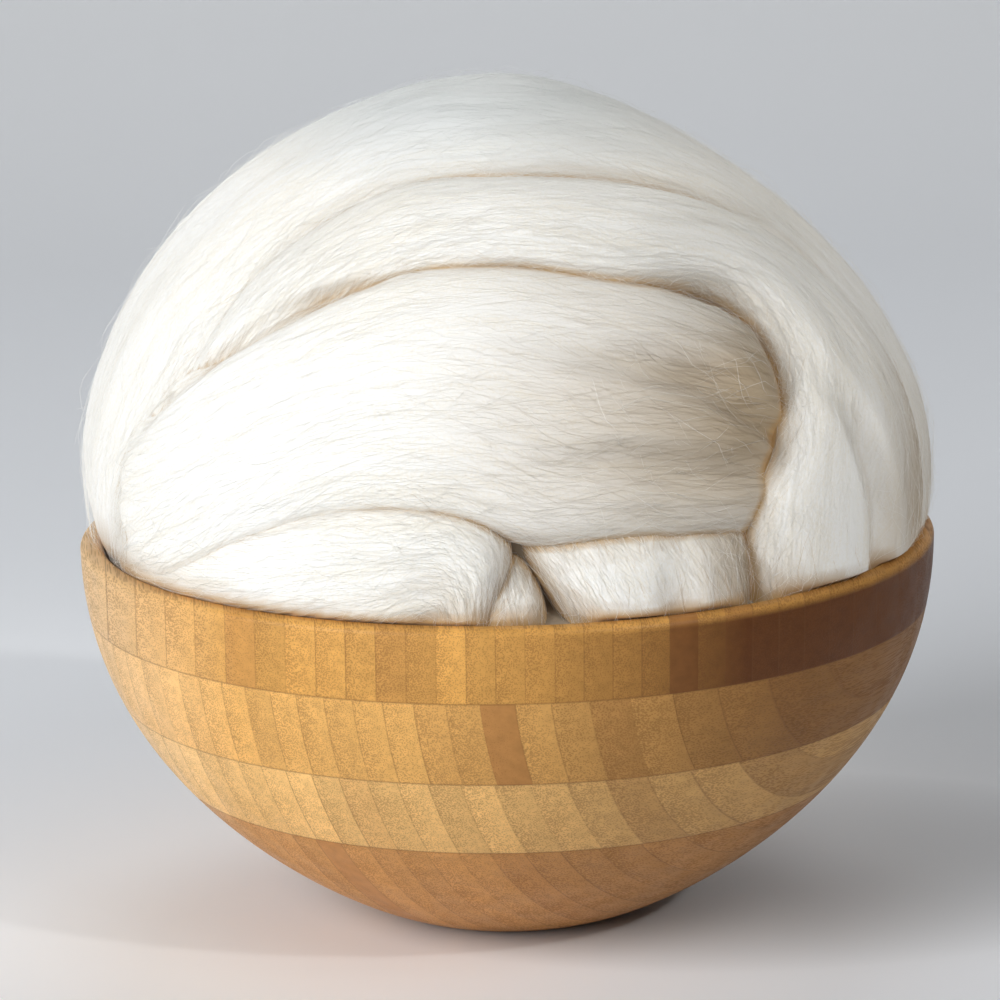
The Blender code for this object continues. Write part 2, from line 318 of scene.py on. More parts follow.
# outside of a wrap; along and across run from 0 to 1
def wrapSurface(name, along, across, lift=0.0):
    rows = np.array(wraps[name], dtype=float)
    form = wrapForm
    size = wrapMesh[name]
    first = unit(smoothBetween(toward(rows[:, 0], rows[:, 1]), along))
    second = unit(smoothBetween(toward(rows[:, 2], rows[:, 3]), along))
    crown = smoothBetween(rows[:, 4], along)
    sink = np.where(across < 0.5, smoothBetween(rows[:, 5], along), smoothBetween(rows[:, 6], along))
    w = np.abs(2 * across - 1)
    power = size.get("roundness", form["edgePower"])
    fall = 1 - (1 - np.clip(w, 0, 1) ** power) ** (1 / power)
    angle = np.arccos(np.clip((first * second).sum(-1), -1, 1))
    direction = (first * np.sin((1 - across) * angle)[..., None]
                 + second * np.sin(across * angle)[..., None]) / np.sin(angle)[..., None]
    seed = list(wraps).index(name) * 10
    shown = size["girth"] * form["girthShown"]
    uneven = 0.0
    for step, kind in enumerate(("swell", "groove", "fineGroove")):
        high, cellLength, cellWidth = form[kind]
        alongCells = int(size["length"] / cellLength) + 2
        acrossCells = int(shown / cellWidth) + (1 if kind == "swell" else 0)
        uneven = uneven + high * streaks(along, across, alongCells, acrossCells, seed + step)
    leaning = size.get("lean", 0.0) * (across - 0.5) * np.sin(math.pi * np.clip(along, 0, 1)) ** 0.5
    radius = crown + leaning - sink * fall + uneven * (1 - w**6) - furrowDepth(name, direction)
    return ballCentre + direction * ((radius + lift) * mm)[..., None]


# short ways to build a material's nodes
class Nodes:
    def __init__(self, name):
        self.material = bpy.data.materials.new(name)
        self.material.use_nodes = True
        self.tree = self.material.node_tree
        self.shader = self.tree.nodes["Principled BSDF"]

    def add(self, kind, **values):
        node = self.tree.nodes.new(kind)
        for key, value in values.items():
            setattr(node, key, value)
        return node

    def plug(self, value, socket):
        if isinstance(value, bpy.types.NodeSocket):
            self.tree.links.new(value, socket)
        else:
            socket.default_value = value

    def fill(self, node, **values):
        for name, value in values.items():
            self.plug(value, node.inputs[name])

    def math(self, operation, a, b=0.0):
        node = self.add("ShaderNodeMath", operation=operation)
        self.plug(a, node.inputs[0])
        self.plug(b, node.inputs[1])
        return node.outputs[0]

    def remap(self, value, fromLow, fromHigh, toLow=0.0, toHigh=1.0):
        node = self.add("ShaderNodeMapRange")
        for socket, v in zip(node.inputs[:5], (value, fromLow, fromHigh, toLow, toHigh)):
            self.plug(v, socket)
        return node.outputs[0]

    def mixColour(self, share, a, b, blend="MIX"):
        node = self.add("ShaderNodeMix", data_type="RGBA", blend_type=blend)
        self.plug(share, node.inputs[0])
        self.plug(a, node.inputs[6])
        self.plug(b, node.inputs[7])
        return node.outputs[2]

    def combine(self, x, y, z):
        node = self.add("ShaderNodeCombineXYZ")
        for socket, v in zip(node.inputs, (x, y, z)):
            self.plug(v, socket)
        return node.outputs[0]

    def noise(self, vector, scale, detail=2.0, roughness=0.5):
        node = self.add("ShaderNodeTexNoise")
        self.fill(node, Vector=vector, Scale=scale, Detail=detail, Roughness=roughness)
        return node.outputs["Fac"]

    def bump(self, height, strength, distance):
        node = self.add("ShaderNodeBump")
        self.fill(node, Strength=strength, Distance=distance, Height=height)
        return node.outputs[0]

    # a vector, and its x, y and z
    def split(self, spot):
        node = self.add("ShaderNodeSeparateXYZ")
        self.plug(spot, node.inputs[0])
        return spot, node.outputs

    def place(self):
        return self.split(self.add("ShaderNodeTexCoord").outputs["Object"])

    def finish(self, values):
        self.fill(self.shader, **values)
        return self.material


bambooLook = {
    "jointHeights": (0.0741, 0.0541, 0.0346),
    "topAngle": 5.0,  # way the strips run, in degrees
    "lowAngle": -28.0,
    "topPitch": 0.00635,
    "lowPitch": 0.0068,
    "topShift": -0.15,  # in strips
    "lowShift": 0.09,  # in strips, for each board further down
    # columns: board from the top, strip, share of brown
    "darkStrips": ((0, 4, 0.75), (0, 6, 0.40), (0, -6, 0.25), (0, -11, 0.35), (1, 6, 0.75), (1, 9, 0.30),
                   (2, 1, 0.20), (2, 9, 0.25), (3, -1, 0.55), (3, 5, 0.30)),
    "dotSpacing": 0.00037,
    "dotCrowd": (0.58, 0.42),  # from one edge of a strip to the other
    "dotStrength": (0.72, 0.50),
    "dotTint": (0.15, 0.055, 0.018, 1),
    "dotDepth": 0.55,  # share of the tint in a dot
    "dotStretch": 0.045,
    "streakStretch": 0.03,
    "streakScale": 420.0,
    "streakTone": (0.88, 1.10),
    "stripTone": (0.87, 1.08),
    "stripBrown": 0.22,
    "glueTint": (0.15, 0.060, 0.020, 1),
    "glueWidth": (0.008, 0.035),  # in strips
    "glueStrength": (0.06, 0.50),
    "boardWidth": (0.00008, 0.00030),
    "boardStrength": 0.42,
    "honey": (0.69, 0.355, 0.088, 1),
    "straw": (0.82, 0.448, 0.132, 1),
    "brown": (0.36, 0.15, 0.045, 1),
    "pale": (0.90, 0.54, 0.195, 1),
    "foot": (0.62, 0.30, 0.092, 1),
    "topPaintedShadeSpan": (-0.010, 0.052),  # painted shade: the strips turn darker towards +X, the side away from the key light
    "lowPaintedShadeSpan": (-0.020, 0.060),
    "topPaintedShade": (0.10, 0.030, 0.006, 1),
    "lowPaintedShade": (0.20, 0.085, 0.022, 1),
    "topPaintedShadeShare": 0.97,
    "lowPaintedShadeShare": (0.90, 0.52),  # on the second board and from the third on
    "lipRange": (0.0905, 0.0888),
    "lipPaintedShade": 0.35,  # share of the painted shade that the lip keeps, as its top faces up into the light
    "sheen": (0.86, 0.66, 0.42, 1),  # painted highlight: a paler tone on the lit side
    "paintedSheenRange": (-0.060, -0.100),
    "paintedSheenShare": 0.55,
    "roughness": (0.36, 0.48),
    "specular": 0.20,
    "bump": 0.35,
    "bumpHeight": 0.00012,
}


# gives each strip's own numbers, with p across the strips and q along them
def bambooStrips(n, x, y, layer, isLow):
    look = bambooLook

    def turned(angle):
        c, s = math.cos(math.radians(angle)), math.sin(math.radians(angle))
        p = n.math("ADD", n.math("MULTIPLY", x, c), n.math("MULTIPLY", y, s))
        q = n.math("SUBTRACT", n.math("MULTIPLY", y, c), n.math("MULTIPLY", x, s))
        return p, q

    def pick(a, b):
        first = n.math("MULTIPLY", a, n.math("SUBTRACT", 1.0, isLow))
        return n.math("ADD", first, n.math("MULTIPLY", b, isLow))

    (topP, topQ), (lowP, lowQ) = turned(look["topAngle"]), turned(look["lowAngle"])
    p, q = pick(topP, lowP), pick(topQ, lowQ)
    strip = pick(n.math("DIVIDE", topP, look["topPitch"]), n.math("DIVIDE", lowP, look["lowPitch"]))
    strip = n.math("ADD", strip, pick(look["topShift"], n.math("MULTIPLY", layer, look["lowShift"])))
    index = n.math("FLOOR", strip)
    white = n.add("ShaderNodeTexWhiteNoise", noise_dimensions="3D")
    n.plug(n.combine(index, layer, 3.0), white.inputs["Vector"])
    chances = n.add("ShaderNodeSeparateColor")
    n.plug(white.outputs["Color"], chances.inputs[0])
    return p, q, index, n.math("FRACT", strip), white.outputs["Value"], chances.outputs, pick


def bambooMaterial():
    look = bambooLook
    n = Nodes("laminatedBamboo")
    place, (x, y, z) = n.place()
    layer = 0.0
    for height in look["jointHeights"]:
        layer = n.math("ADD", layer, n.math("LESS_THAN", z, height))
    isLow = n.math("GREATER_THAN", layer, 0.5)
    p, q, index, share, chance, chances, pick = bambooStrips(n, x, y, layer, isLow)

    # base tone of a strip
    base = n.mixColour(isLow, look["honey"], look["straw"])
    base = n.mixColour(n.math("GREATER_THAN", layer, 1.5), base, look["pale"])
    base = n.mixColour(n.math("GREATER_THAN", layer, 2.5), base, look["foot"])
    dark = n.remap(chance, 0.86, 1.0, 0.0, look["stripBrown"])
    for board, number, much in look["darkStrips"]:
        isBoard = n.math("LESS_THAN", n.math("ABSOLUTE", n.math("SUBTRACT", layer, board)), 0.5)
        isStrip = n.math("LESS_THAN", n.math("ABSOLUTE", n.math("SUBTRACT", index, number)), 0.5)
        dark = n.math("MAXIMUM", dark, n.math("MULTIPLY", n.math("MULTIPLY", isBoard, isStrip), much))
    base = n.mixColour(dark, base, look["brown"])
    light = n.remap(chances[1], 0.0, 1.0, *look["stripTone"])
    # painted shade: the strips darken towards +X, away from the key light, and less on the lip's top
    topBoardShade = n.remap(x, *look["topPaintedShadeSpan"], 0.0, look["topPaintedShadeShare"])
    lowBoardShade = n.math("MULTIPLY", n.remap(x, *look["lowPaintedShadeSpan"]), n.remap(layer, 1.0, 2.0, *look["lowPaintedShadeShare"]))
    lip = n.remap(z, *look["lipRange"], look["lipPaintedShade"], 1.0)
    side = n.math("MULTIPLY", pick(topBoardShade, lowBoardShade), lip)
    base = n.mixColour(1.0, base, n.combine(light, light, light), "MULTIPLY")
    base = n.mixColour(side, base, n.mixColour(isLow, look["topPaintedShade"], look["lowPaintedShade"]))
    # painted highlight: the strips turn paler on the lit side, towards -X
    base = n.mixColour(n.remap(x, *look["paintedSheenRange"], 0.0, look["paintedSheenShare"]), base, look["sheen"])

    # fibre bundles run the length of a strip, so they are dots on its end and streaks on its side
    dots = n.add("ShaderNodeTexVoronoi", feature="F1")
    alongDots = n.combine(p, z, n.math("MULTIPLY", q, look["dotStretch"]))
    n.fill(dots, Vector=alongDots, Scale=1 / look["dotSpacing"], Randomness=0.9)
    crowd = n.remap(share, 0.0, 1.0, *look["dotCrowd"])
    crowd = n.math("ADD", crowd, n.remap(n.noise(place, 70.0, 1.0), 0.3, 0.7, -0.07, 0.07))
    crowd = n.math("SUBTRACT", crowd, n.remap(dark, 0.30, 0.60, 0.0, 0.3))
    dot = n.remap(n.math("SUBTRACT", crowd, dots.outputs["Distance"]), 0.0, 0.12)
    strength = n.remap(share, 0.0, 1.0, *look["dotStrength"])
    base = n.mixColour(n.math("MULTIPLY", dot, strength), base,
                       n.mixColour(look["dotDepth"], base, look["dotTint"]))

    # slow streaks along the strip
    alongStrip = n.combine(p, z, n.math("MULTIPLY", q, look["streakStretch"]))
    slow = n.noise(alongStrip, look["streakScale"], 2.0, 0.6)
    shade = n.remap(slow, 0.25, 0.75, *look["streakTone"])
    base = n.mixColour(1.0, base, n.combine(shade, shade, shade), "MULTIPLY")

    # glue lines between the strips and between the boards
    edge = n.math("MINIMUM", share, n.math("SUBTRACT", 1.0, share))
    glue = n.remap(edge, *look["glueWidth"], 1.0, 0.0)
    glue = n.math("MULTIPLY", glue, n.remap(chances[2], 0.0, 1.0, *look["glueStrength"]))
    board = 0.0
    for height in look["jointHeights"]:
        near = n.math("ABSOLUTE", n.math("SUBTRACT", z, height))
        board = n.math("MAXIMUM", board, n.remap(near, *look["boardWidth"], look["boardStrength"], 0.0))
    glue = n.math("MAXIMUM", glue, board)
    base = n.mixColour(glue, base, look["glueTint"])

    gloss = n.remap(n.noise(place, 140.0, 1.0), 0.3, 0.7, *look["roughness"])
    gloss = n.math("ADD", gloss, n.math("MULTIPLY", dot, 0.10))
    relief = n.math("SUBTRACT", n.math("MULTIPLY", slow, 0.5), n.math("MULTIPLY", dot, 0.6))
    relief = n.math("SUBTRACT", relief, glue)
    return n.finish({"Base Color": base, "Roughness": gloss, "Specular IOR Level": look["specular"],
                     "Normal": n.bump(relief, look["bump"], look["bumpHeight"])})


fibreLook = {
    "pale": (0.92, 0.908, 0.875, 1),
    "cream": (0.88, 0.84, 0.755, 1),
    "strand": (0.96, 0.95, 0.92, 1),
    "strandPale": 0.4,  # least share of it in a strand
    "strandCell": 0.011,  # of the strands' map, with one tone each
    # painted shade: the heart is coloured dark brown, as the deep gaps it shows through lie in shade
    "heart": (0.24, 0.175, 0.105, 1),
    "heartPaintedShadeShare": 0.9,
    # painted shade: the top of the wool turns greyer, where less light falls
    "crown": (0.74, 0.755, 0.74, 1),
    "crownShadeRise": (0.178, 0.193),  # heights between which the crown's grey comes in
    # painted shade in creases and hollows; the warm tone stands in for light scattered through the fibre
    "crease": (0.57, 0.38, 0.18, 1),
    "hollow": (0.48, 0.375, 0.25, 1),
    "roughness": 0.85,
    "sheen": 0.35,
    "sheenTint": (1.0, 0.98, 0.95, 1),
    # width and length in metres
    "hairSize": (0.00045, 0.012),
    "lockSize": (0.0026, 0.050),
    "frizzScale": 1700.0,
    "bump": 0.17,
    "bumpHeight": 0.00022,
}


# painted shade: greyer towards the top, warmer and darker in hollows and creases, where less light reaches
def paintedShadeTint(n, colour):
    height = n.place()[1][2]
    colour = n.mixColour(n.remap(height, *fibreLook["crownShadeRise"]), colour, fibreLook["crown"])
    for name in ("hollow", "crease"):
        share = n.add("ShaderNodeAttribute", attribute_name=name + "Depth").outputs["Fac"]
        colour = n.mixColour(share, colour, fibreLook[name])
    return colour


# length and girth give the streaks their real size on the wrap's own map
def fibreMaterial(name, length, girth, soft=True):
    look = fibreLook
    n = Nodes(name)
    roundShare, along = n.split(n.add("ShaderNodeUVMap", uv_map="OFBake").outputs["UV"])[1][:2]

    def stretched(acrossSize, alongSize):
        return n.combine(n.math("MULTIPLY", roundShare, girth / acrossSize),
                         n.math("MULTIPLY", along, length / alongSize), 0.0)

    hair = n.noise(stretched(*look["hairSize"]), 1.0, 1.0, 0.65)
    lock = n.noise(stretched(*look["lockSize"]), 1.0, 1.0, 0.55)
    place = n.place()[0]
    cloud = n.noise(place, 28.0, 0.0)
    frizz = n.noise(place, look["frizzScale"], 0.0)
    tint = n.math("ADD", n.math("MULTIPLY", hair, 0.45), n.math("MULTIPLY", lock, 0.55))
    tint = n.math("ADD", tint, n.remap(cloud, 0.3, 0.7, -0.08, 0.08))
    tint = n.math("ADD", tint, n.remap(frizz, 0.3, 0.7, -0.10, 0.10))
    colour = paintedShadeTint(n, n.mixColour(n.remap(tint, 0.30, 0.62), look["cream"], look["pale"]))
    # the heart gets a dark painted shade
    if not soft:
        colour = n.mixColour(look["heartPaintedShadeShare"], colour, look["heart"])
    relief = n.math("ADD", n.math("MULTIPLY", hair, 0.6), n.math("MULTIPLY", frizz, 0.6))
    return n.finish({"Base Color": colour, "Roughness": look["roughness"], "Specular IOR Level": 0.25,
                     "Sheen Weight": look["sheen"], "Sheen Roughness": 0.45, "Sheen Tint": look["sheenTint"],
                     "Normal": n.bump(relief, look["bump"], look["bumpHeight"])})


def finishPiece(item, slot, *nodes):
    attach(item, "root")
    if nodes:
        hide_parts(*nodes)
    return item


def newObject(name, mesh, material):
    mesh.materials.append(material)
    item = bpy.data.objects.new(name, mesh)
    bpy.context.scene.collection.objects.link(item)
    return item


def meshFrom(shape, name):
    mesh = bpy.data.meshes.new(name)
    shape.to_mesh(mesh)
    shape.free()
    return mesh


def readAll(items, name, width=1, kind=float):
    values = np.empty(len(items) * width, dtype=kind)
    items.foreach_get(name, values)
    return values.reshape(-1, width) if width > 1 else values


# half of the bowl's section, from the middle of the foot over the lip to the middle of the floor
def bowlOutline():
    b = bowlSettings
    lipBase = b["height"] - b["lip"]
    spots = [(0.0, 0.0)]
    for ring in range(b["rings"] + 1):
        height = lipBase * (ring / b["rings"]) ** b["ringCrowding"]
        spots.append((float(outerRadius(height)), height))
    outside, inside = float(outerRadius(lipBase)), float(innerRadius(lipBase))
    for centre, start in ((outside - b["lip"], 0), (inside + b["lip"], 90)):
        for step in range(b["lipSteps"] + 1):
            angle = math.radians(start + 90 * step / b["lipSteps"])
            if step or start:
                spots.append((centre + b["lip"] * math.cos(angle), lipBase + b["lip"] * math.sin(angle)))
    for ring in range(b["rings"] - 1, -1, -1):
        height = b["floor"] + (lipBase - b["floor"]) * (ring / b["rings"]) ** b["ringCrowding"]
        spots.append((float(innerRadius(height)), height))
    spots.append((0.0, b["floor"]))
    return spots


def makeBowl():
    shape = bmesh.new()
    corners = [shape.verts.new((r, 0.0, h)) for r, h in bowlOutline()]
    edges = [shape.edges.new(pair) for pair in zip(corners, corners[1:])]
    bmesh.ops.spin(shape, geom=corners + edges, cent=(0, 0, 0), axis=(0, 0, 1), angle=math.tau,
                   steps=bowlSettings["segments"], use_merge=True)
    bmesh.ops.remove_doubles(shape, verts=shape.verts[:], dist=0.000005)
    bmesh.ops.recalc_face_normals(shape, faces=shape.faces[:])
    mesh = meshFrom(shape, "turnedBowl")
    mesh.shade_smooth()
    mesh.set_sharp_from_angle(angle=math.radians(50))
    return finishPiece(newObject("turnedBowl", mesh, bambooMaterial()), "bamboo", "bowl")


# own map of a tube: share round and share along, with the seam's last faces closed at 1
def mapTube(mesh, turn, up):
    corner = readAll(mesh.loops, "vertex_index", kind=int)
    start = readAll(mesh.polygons, "loop_start", kind=int)
    face = np.repeat(np.arange(len(start)), readAll(mesh.polygons, "loop_total", kind=int))
    u, v = turn[corner], up[corner]
    pole = (v < 1e-6) | (v > 1 - 1e-6)
    widest = np.maximum.reduceat(np.where(pole, -1.0, u), start)[face]
    u = np.where(~pole & (u < 0.25) & (widest > 0.75), u + 1.0, u)
    summed = np.add.reduceat(np.where(pole, 0.0, u), start)
    counted = np.add.reduceat(np.where(pole, 0.0, 1.0), start)
    u = np.where(pole, (summed / counted)[face], u)
    layer = mesh.uv_layers.new(name="OFBake")
    layer.data.foreach_set("uv", np.stack((u, v), axis=-1).ravel())


# closed tube between two poles, whose points are placed by their share round and along it
def tubeMesh(name, around, along, place):
    shape = bmesh.new()
    bmesh.ops.create_uvsphere(shape, u_segments=around, v_segments=along, radius=1.0)
    mesh = meshFrom(shape, name)
    spots = readAll(mesh.vertices, "co", 3)
    turn = np.mod(np.arctan2(spots[:, 1], spots[:, 0]) / math.tau, 1.0)
    turn[turn > 1 - 1e-6] = 0.0
    up = np.arcsin(np.clip(spots[:, 2], -1, 1)) / math.pi + 0.5
    mesh.vertices.foreach_set("co", place(turn, up).ravel())
    mapTube(mesh, turn, up)
    shape = bmesh.new()
    shape.from_mesh(mesh)
    bmesh.ops.recalc_face_normals(shape, faces=shape.faces[:])
    shape.to_mesh(mesh)
    shape.free()
    mesh.shade_smooth()
    return mesh


def makeWrap(name):
    size = wrapMesh[name]
    form = wrapForm
    rows = np.array(wraps[name], dtype=float)

    def place(turn, up):
        outer = turn < form["outerShare"]
        back = 2 - (turn - form["outerShare"]) / (1 - form["outerShare"])
        across = (1 - np.cos(np.where(outer, turn / form["outerShare"], back) * math.pi)) / 2
        top = wrapSurface(name, up, across)
        edge = smoothBetween(rows[:, 4] - (rows[:, 5] + rows[:, 6]) / 2, up)
        w = np.abs(2 * across - 1)
        offset = top - ballCentre
        belly = (edge - form["innerDepth"] * (1 - w**2) ** 0.5) * mm
        inside = ballCentre + unit(offset) * np.minimum(belly, np.linalg.norm(offset, axis=-1))[..., None]
        spots = np.where(outer[:, None], top, inside)
        # the two ends close softly
        nearEnd = np.clip(np.minimum(up, 1 - up) / form["endTaper"], 0, 1)
        roundOff = (1 - (1 - nearEnd) ** 2) ** 0.5
        core = wrapSurface(name, up, np.full_like(up, 0.5), -form["coreDepth"])
        return clearOfBowl(core + (spots - core) * roundOff[:, None])

    mesh = tubeMesh(name, size["around"], size["along"], place)
    material = fibreMaterial("fibre_" + name, size["length"], size["girth"])
    return finishPiece(newObject(name, mesh, material), "fibre", "wound_top")


heartSettings = {
    "lowRadius": 98.0,  # mm, fills the bowl
    "highRadius": 87.0,  # mm, lies under the wraps
    "highFrom": 0.48,  # share of the way up
    "around": 96,
    "along": 60,
    "length": 0.30,
    "girth": 0.55,
}


# the plain fibre inside the bowl and under the wraps, coloured dark brown as painted shade where it shows in
# the gaps between them
def makeHeart():
    h = heartSettings

    def place(turn, up):
        direction = toward(turn * 360, up * 180 - 90)
        radius = np.where(up < h["highFrom"], h["lowRadius"], h["highRadius"]) * mm
        return clearOfBowl(ballCentre + direction * radius[:, None])

    mesh = tubeMesh("heart", h["around"], h["along"], place)
    material = fibreMaterial("fibre_heart", h["length"], h["girth"], False)
    return finishPiece(newObject("heart", mesh, material), "fibre", "wound_top")


creaseFeelers = {
    "count": 8,
    "strandCount": 6,
    "steep": 50.0,  # degrees from the way the surface faces
    "flat": 74.0,
    "start": 0.00035,
    "near": 0.0068,  # reach for a crease, and for a hollow
    "far": 0.034,
    "creaseRange": (0.10, 0.42),
    "hollowRange": (0.03, 0.78),
    "outward": 0.25,  # lean of all feelers away from the ball's centre
}

# painted shade: the wool is coloured warmer and darker on its sides in the lee of the light: from and to run
# along X, floor is what is left below low, and above fadeFrom it fades out again, in metres
leeShadeSides = {
    "middleWrap": {"from": -0.032, "to": 0.052, "share": 0.98, "low": 0.104, "high": 0.124, "floor": 0.35,
                   "fadeFrom": 0.141, "fadeTo": 0.153, "fade": 0.6},
    "hoodWrap": {"from": 0.076, "to": 0.094, "share": 0.80, "fadeFrom": 0.106, "fadeTo": 0.150},
    "capWrap": {"from": 0.086, "to": 0.101, "share": 0.62, "fadeFrom": 0.104, "fadeTo": 0.140},
    "rightLobe": {"from": 0.034, "to": 0.052, "share": 0.9},
}
leeShadeDefaults = {"low": 0.0, "high": 1.0, "floor": 1.0, "fadeFrom": 1.0, "fadeTo": 2.0, "fade": 1.0, "power": 1.5}


def ramp(values, low, high):
    return np.clip((values - low) / (high - low), 0, 1)


def leeShadeShare(name, spots):
    side = {**leeShadeDefaults, **leeShadeSides[name]}
    share = ramp(spots[:, 0], side["from"], side["to"]) ** side["power"] * side["share"]
    share *= side["floor"] + (1 - side["floor"]) * ramp(spots[:, 2], side["low"], side["high"])
    return share * (1 - side["fade"] * ramp(spots[:, 2], side["fadeFrom"], side["fadeTo"]))


# how deep in a crease and in a hollow each spot lies, from 0 to 1, with the lee's painted shade added to the
# hollow
def feelCreases(tree, name, spots, facing, count):
    f = creaseFeelers
    sideways = unit(np.cross(facing, (0.13, 0.21, 0.97)))
    upright = np.cross(facing, sideways)
    starts = spots + facing * f["start"]
    crease, hollow = np.zeros(len(spots)), np.zeros(len(spots))
    for k in range(count):
        angle = math.tau * k / count
        tilt = math.radians(f["flat"] if k % 2 else f["steep"])
        feeler = (facing * math.cos(tilt)
                  + (sideways * math.cos(angle) + upright * math.sin(angle)) * math.sin(tilt))
        for i in range(len(spots)):
            hit = tree.ray_cast(Vector(starts[i]), Vector(feeler[i]), f["far"])
            if hit[0] is not None:
                crease[i] += max(0.0, 1 - hit[3] / f["near"])
                hollow[i] += 1 - (hit[3] / f["far"]) ** 2
    crease = ramp(crease / count, *f["creaseRange"])
    hollow = ramp(hollow / count, *f["hollowRange"])
    if name in leeShadeSides:
        hollow = np.maximum(hollow, leeShadeShare(name, spots))
    return crease, hollow


def keepDepths(mesh, crease, hollow):
    for name, values in (("creaseDepth", crease), ("hollowDepth", hollow)):
        layer = mesh.attributes.new(name, "FLOAT", "POINT")
        layer.data.foreach_set("value", values)


# stores on each wrap how deep its visible points lie, as masks for the painted shade of its material
def markCreases(items, tree):
    for item in items:
        mesh = item.data
        spots = readAll(mesh.vertices, "co", 3)
        facing = readAll(mesh.vertex_normals, "vector", 3)
        facing = unit(facing + creaseFeelers["outward"] * unit(spots - ballCentre))
        turn = np.zeros(len(spots))
        shares = readAll(mesh.uv_layers["OFBake"].data, "uv", 2)[:, 0]
        turn[readAll(mesh.loops, "vertex_index", kind=int)] = np.mod(shares, 1.0)
        visible = turn < wrapForm["outerShare"] + 0.01
        crease, hollow = np.zeros(len(spots)), np.zeros(len(spots))
        crease[visible], hollow[visible] = feelCreases(tree, item.name, spots[visible], facing[visible],
                                                       creaseFeelers["count"])
        keepDepths(mesh, crease, hollow)


# joined mesh of thin closed strands; lines holds (strand, point, xyz) and radii one value each
def strandMesh(name, lines, radii):
    strands, points = lines.shape[:2]
    tangent = unit(np.gradient(lines, axis=1))
    side = unit(np.cross(tangent, unit(lines.mean(axis=1) - ballCentre)[:, None, :]))
    raised = np.cross(side, tangent)
    inner = lines[:, 1:-1]
    taper = np.sin(np.linspace(0, math.pi, points))[1:-1] ** 0.4
    reach = radii[:, None] * taper
    rings = []
    for corner in range(3):
        angle = math.tau * corner / 3 + math.pi / 2
        outward = side[:, 1:-1] * math.cos(angle) + raised[:, 1:-1] * math.sin(angle)
        rings.append(inner + outward * reach[..., None])
    ringSpots = np.stack(rings, axis=2).reshape(strands, -1, 3)
    spots = np.concatenate((lines[:, :1], ringSpots, lines[:, -1:]), axis=1)
    each = spots.shape[1]
    last = each - 1
    faces = []
    for k in range(3):
        m = (k + 1) % 3
        faces.append((0, 1 + k, 1 + m))
        for ring in range(points - 3):
            a, b = 1 + ring * 3 + k, 1 + ring * 3 + m
            faces.append((a, a + 3, b + 3))
            faces.append((a, b + 3, b))
        faces.append((last - 3 + k, last, last - 3 + m))
    pattern = np.array(faces)
    corners = (np.arange(strands)[:, None, None] * each + pattern[None]).reshape(-1)
    mesh = bpy.data.meshes.new(name)
    mesh.vertices.add(strands * each)
    mesh.vertices.foreach_set("co", spots.reshape(-1))
    mesh.loops.add(len(corners))
    mesh.loops.foreach_set("vertex_index", corners.astype(np.int32))
    mesh.polygons.add(len(corners) // 3)
    mesh.polygons.foreach_set("loop_start", np.arange(0, len(corners), 3, dtype=np.int32))
    mesh.update(calc_edges=True)
    # each strand has a small cell of its own on the map
    grid = int(math.ceil(math.sqrt(strands)))
    cell = np.stack((np.arange(strands) % grid, np.arange(strands) // grid), axis=-1) / grid
    ringOf = np.concatenate(([0], np.repeat(np.arange(1, points - 1), 3), [points - 1])) / (points - 1)
    cornerOf = np.concatenate(([0.5], np.tile((0.15, 0.5, 0.85), points - 2), [0.5]))
    within = np.stack((cornerOf * 0.8 + 0.1, ringOf * 0.8 + 0.1), axis=-1) / grid
    uv = (cell[:, None, :] + within[None])[:, pattern.reshape(-1)]
    layer = mesh.uv_layers.new(name="OFBake")
    layer.data.foreach_set("uv", uv.reshape(-1))
    mesh.shade_smooth()
    mesh.validate()
    return mesh


# sizes in mm
strandLook = {
    "points": 6,
    "span": (12.0, 34.0),
    "radius": (0.012, 0.025),
    "drift": 5.5,  # sideways over a strand
    "wave": 1.2,
    "lift": (0.02, 0.09),
    "arch": 0.05,
    "slack": 0.0009,  # metres below the outside that still count as showing
    "fewest": 0.02,  # share that has to show for a further try
    # loose fibres, of which the short ones stand up from the surface
    "shortShare": 0.5,
    "shortSpan": (2.0, 7.0),
    "longSpan": (8.0, 26.0),
    "shortDrift": 0.35,  # share of the drift and of the wave that a short fibre has
    "shortWave": 0.4,
    "edgeShare": 0.45,  # share that stands beside a crease
    "edgeSpread": 0.04,
    "archShare": 0.55,  # share of the long ones with both ends down
    "looseRadius": (0.020, 0.036),
    "looseDrift": 7.0,
    "looseLift": 0.08,
    "looseHeight": 0.62,
    "looseReach": 3.2,
}

# how many strands each wrap gets in each piece
strandPieces = {
    "combedCap": {"capWrap": 3900},
    "combedHood": {"hoodWrap": 3900},
    "combedMiddle": {"middleWrap": 3100, "leftLobe": 1150, "smallFold": 220, "rightLobe": 700},
    "combedBack": {"backUpper": 1400, "backMiddle": 1300, "backLower": 900},
}
looseStrands = {
    "capWrap": 3100, "hoodWrap": 1900, "middleWrap": 950, "leftLobe": 350, "smallFold": 80, "rightLobe": 220,
    "backUpper": 550, "backMiddle": 450, "backLower": 300,
}


# the outside of all pieces, to leave out strands that would lie hidden
def outerTree(items):
    spots, faces, first = [], [], 0
    for item in items:
        mesh = item.data
        spots += [v.co[:] for v in mesh.vertices]
        faces += [[first + i for i in p.vertices] for p in mesh.polygons]
        first = len(spots)
    return BVHTree.FromPolygons(spots, faces)


# which points lie at most slack below the outside, as seen from far out
def showing(tree, points, slack):
    farOut = 0.13
    shown = np.zeros(len(points), dtype=bool)
    for i, point in enumerate(points):
        offset = point - ballCentre
        reach = float(np.linalg.norm(offset))
        away = offset / reach
        hit = tree.ray_cast(Vector(ballCentre + away * farOut), Vector(-away))
        shown[i] = hit[0] is not None and (farOut - hit[3]) < reach + slack
    return shown


